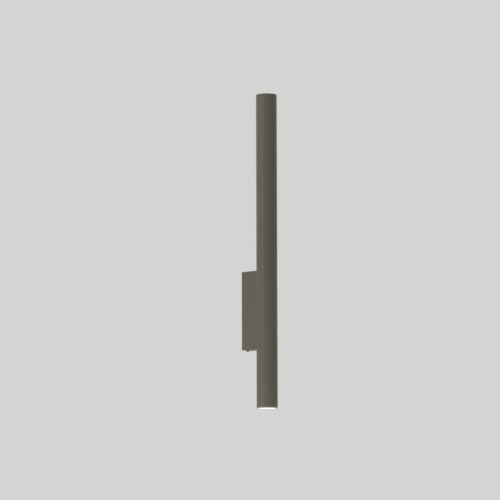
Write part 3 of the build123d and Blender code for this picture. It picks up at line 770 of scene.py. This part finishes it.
# threaded screws take the place of the plain ones, sizes in millimetres
perMetre = 1000  # millimetres
screwLooks = {
    "tube_screws": {"axis": (0, -1, 0), "radius": 2.0, "head": 3.8, "height": 2.2,
                    "socket": 2.5, "pitch": 0.7},
    "terminal_fixing_screw": {"axis": (0, -1, 0), "radius": 1.5, "head": 2.75, "height": 1.65,
                              "socket": 2.0, "pitch": 0.5},
    "earth_screw": {"axis": (0, 1, 0), "radius": 2.0, "head": 3.8, "height": 2.2,
                    "socket": 2.5, "pitch": 0.7},
    "driver_screws": {"axis": (0, 1, 0), "radius": 1.5, "head": 2.75, "height": 1.65,
                      "socket": 2.0, "pitch": 0.5},
    "upper_holder_screws": {"axis": (0, 0, -1), "radius": 1.25, "head": 2.2, "height": 1.6,
                            "socket": 1.5, "pitch": 0.45},
    "lower_holder_screws": {"axis": (0, 0, 1), "radius": 1.25, "head": 2.2, "height": 1.6,
                            "socket": 1.5, "pitch": 0.45},
    "set_screw": {"axis": (0, 0, 1), "radius": 1.5, "head": 2.3, "height": 1.8,
                  "socket": 2.0, "pitch": 0.5},
}
threadLook = {
    "around": 24,  # points in each ring
    "turnRings": 6,  # rings in each turn of the thread
    "fullDepth": 0.87,  # a sharp thread's depth, as a share of the pitch
    "depthShare": 0.6,
    "start": 0.05,  # below the head
    "runOut": 0.4,  # left plain before the tip
    "taper": 0.3,
    "tipCut": 0.2,
    "socketDepth": 0.6,  # share of the head's height
    "socketLip": 0.12,
    # the head's outline: shares of its radius and of its height
    "dome": [(0.66, 0.0), (0.8, 0.05), (0.92, 0.2), (0.98, 0.45), (1.0, 0.75), (1.0, 1.0)],
    "sharpAngle": 38.0,
    "pairGap": 0.5,  # a node that reaches this far past one head, each side, holds two
}
ringPoints = range(threadLook["around"])
bodyOf = {
    node: body
    for body, members in frame["record"]["behaviour"]["bodies"].items()
    for node in members
}


def ringAngle(i):
    return 2 * math.pi * i / threadLook["around"]


def ringPoint(reach, i, height):
    return (reach * math.cos(ringAngle(i)), reach * math.sin(ringAngle(i)), height)


def circleRing(radius, height):
    return [ringPoint(radius, i, height) for i in ringPoints]


def hexRing(flats, height):
    side = math.pi / 3
    ring = []
    for i in ringPoints:
        toFlat = (ringAngle(i) + side / 2) % side - side / 2
        ring.append(ringPoint(flats / 2 / math.cos(toFlat), i, height))
    return ring


def threadRing(radius, depth, pitch, height):
    ring = []
    for i in ringPoints:
        phase = (height / pitch - i / threadLook["around"]) % 1.0
        ring.append(ringPoint(radius - depth * abs(2 * phase - 1), i, height))
    return ring


def loftRings(mesh, rings):
    rows = [[mesh.verts.new(point) for point in ring] for ring in rings]
    for lower, upper in zip(rows, rows[1:]):
        for i in ringPoints:
            j = (i + 1) % len(lower)
            mesh.faces.new((lower[i], lower[j], upper[j], upper[i]))
    mesh.faces.new(list(reversed(rows[0])))
    mesh.faces.new(rows[-1])


def screwRings(look, length):
    # local z runs from the head's top (0) to the tip (length)
    radius, head, height, pitch = (look[key] for key in ("radius", "head", "height", "pitch"))
    depth = threadLook["depthShare"] * pitch * threadLook["fullDepth"]
    rings = [
        hexRing(look["socket"], threadLook["socketDepth"] * height),
        hexRing(look["socket"], threadLook["socketLip"]),
    ]
    rings += [circleRing(head * share, height * drop) for share, drop in threadLook["dome"]]
    rings.append(circleRing(radius, height))
    step = pitch / threadLook["turnRings"]
    first = height + threadLook["start"]
    for i in range(int((length - height - threadLook["runOut"]) / step)):
        rings.append(threadRing(radius, depth, pitch, first + i * step))
    rings.append(circleRing(radius - depth, length - threadLook["taper"]))
    rings.append(circleRing(radius - depth - threadLook["tipCut"], length))
    return rings


def makeScrews(node, look):
    low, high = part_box(node)
    axis = Vector(look["axis"])
    along = max(range(3), key=lambda i: abs(axis[i]))
    spread = max((i for i in range(3) if i != along), key=lambda i: high[i] - low[i])
    start = (low + high) / 2
    start[along] = low[along] if axis[along] > 0 else high[along]
    offset = (high[spread] - low[spread] - 2 * look["head"] / perMetre) / 2
    shifts = [-offset, offset] if offset >= threadLook["pairGap"] / perMetre else [0.0]
    length = (high[along] - low[along]) * perMetre
    turn = axis.to_track_quat("Z", "Y").to_matrix().to_4x4()
    mesh = bmesh.new()
    for shift in shifts:
        single = bmesh.new()
        loftRings(single, screwRings(look, length))
        move = start.copy()
        move[spread] += shift
        single.transform(Matrix.Translation(move) @ turn @ Matrix.Scale(1 / perMetre, 4))
        part = bpy.data.meshes.new("one")
        single.to_mesh(part)
        mesh.from_mesh(part)
        bpy.data.meshes.remove(part)
        single.free()
    bmesh.ops.recalc_face_normals(mesh, faces=mesh.faces)
    data = bpy.data.meshes.new(node + "Threaded")
    mesh.to_mesh(data)
    mesh.free()
    for face in data.polygons:
        face.use_smooth = True
    data.set_sharp_from_angle(angle=math.radians(threadLook["sharpAngle"]))
    piece = bpy.data.objects.new(node + "_threaded", data)
    bpy.context.scene.collection.objects.link(piece)
    data.materials.append(finishes[slotFinish[nodeSlot[node]]])
    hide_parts(node)
    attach(piece, bodyOf[node])


for nodeName, look in screwLooks.items():
    makeScrews(nodeName, look)
print("screws threaded:", len(screwLooks))


# floor, world and lamps
stageLook = {
    "floorDrop": 0.62,  # floor below the tube's lower end
    "floorSize": 60.0,
    "backdrop": (0.66, 0.66, 0.65),
    "fillLight": 0.38,
    "sunReach": 2.0,
    "suns": [
        # name, azimuth, elevation, strength, spread in degrees, tint
        ("keyLeft", -100, 25, 1.1, 30, (1.0, 0.985, 0.96)),
        ("rightSoft", 115, 25, 0.8, 40, (0.98, 0.99, 1.0)),
        ("backSoft", 175, 35, 0.8, 40, (1.0, 1.0, 1.0)),
    ],
    "low": {"azimuth": -45, "reach": 0.15, "height": -0.6, "size": 0.3, "power": 1.7},
}


def addLamp(data, place, back):
    lamp = bpy.data.objects.new(data.name, data)
    lamp.location = place
    lamp.rotation_euler = (-back).to_track_quat("-Z", "Y").to_euler()
    lamp.visible_camera = False
    bpy.context.scene.collection.objects.link(lamp)


def makeFloorFinish(material):
    # nothing shows of the floor when it is looked at from underneath
    tree = material.node_tree
    clear = addNode(tree, "ShaderNodeBsdfTransparent")
    behind = addNode(tree, "ShaderNodeNewGeometry").outputs["Backfacing"]
    rays = addNode(tree, "ShaderNodeLightPath").outputs["Is Camera Ray"]
    choose = addNode(tree, "ShaderNodeMixShader")
    tree.links.new(mathNode(tree, "MULTIPLY", behind, rays), choose.inputs[0])
    tree.links.new(tree.nodes["Principled BSDF"].outputs[0], choose.inputs[1])
    tree.links.new(clear.outputs[0], choose.inputs[2])
    tree.links.new(choose.outputs[0], tree.nodes["Material Output"].inputs["Surface"])
    return material


def makeFloor(look):
    half = look["floorSize"] / 2
    height = cadLow.z - look["floorDrop"]
    corners = [(-half, -half, height), (half, -half, height), (half, half, height),
               (-half, half, height)]
    mesh = bpy.data.meshes.new("floor")
    mesh.from_pydata(corners, [], [(0, 1, 2, 3)])
    mesh.materials.append(makeFloorFinish(finishes["floorSweep"]))
    floor = bpy.data.objects.new("floor", mesh)
    bpy.context.scene.collection.objects.link(floor)


def makeWorld(look):
    # white light all round, and a pale backdrop for what looks straight at it
    world = bpy.data.worlds.new("studio")
    world.use_nodes = True
    tree = world.node_tree
    soft = tree.nodes["Background"]
    setInput(soft, "Color", (1.0, 1.0, 1.0, 1.0))
    setInput(soft, "Strength", look["fillLight"])
    seen = addNode(tree, "ShaderNodeBackground")
    setInput(seen, "Color", (*look["backdrop"], 1.0))
    setInput(seen, "Strength", 1.0)
    path = addNode(tree, "ShaderNodeLightPath")
    rays = mathNode(tree, "MAXIMUM", path.outputs["Is Camera Ray"], path.outputs["Is Glossy Ray"])
    rays = mathNode(tree, "MAXIMUM", rays, path.outputs["Is Transmission Ray"])
    choose = addNode(tree, "ShaderNodeMixShader")
    tree.links.new(rays, choose.inputs[0])
    tree.links.new(soft.outputs[0], choose.inputs[1])
    tree.links.new(seen.outputs[0], choose.inputs[2])
    tree.links.new(choose.outputs[0], tree.nodes["World Output"].inputs[0])
    bpy.context.scene.world = world


def makeLamps(look):
    middle = (cadLow + cadHigh) / 2
    for name, azimuth, elevation, strength, spread, tint in look["suns"]:
        a, e = math.radians(azimuth), math.radians(elevation)
        back = Vector((math.sin(a) * math.cos(e), -math.cos(a) * math.cos(e), math.sin(e)))
        data = bpy.data.lights.new(name, "SUN")
        data.energy = strength
        data.angle = math.radians(spread)
        data.color = tint
        addLamp(data, middle + back * look["sunReach"], back)
    low = look["low"]
    turn = math.radians(low["azimuth"])
    place = Vector((math.sin(turn) * low["reach"], -math.cos(turn) * low["reach"], low["height"]))
    data = bpy.data.lights.new("lowBounce", "AREA")
    data.size = low["size"]
    data.energy = low["power"]
    addLamp(data, place, place - middle)


makeFloor(stageLook)
makeWorld(stageLook)
makeLamps(stageLook)
bpy.context.scene.view_settings.view_transform = "Standard"
print("stage set")
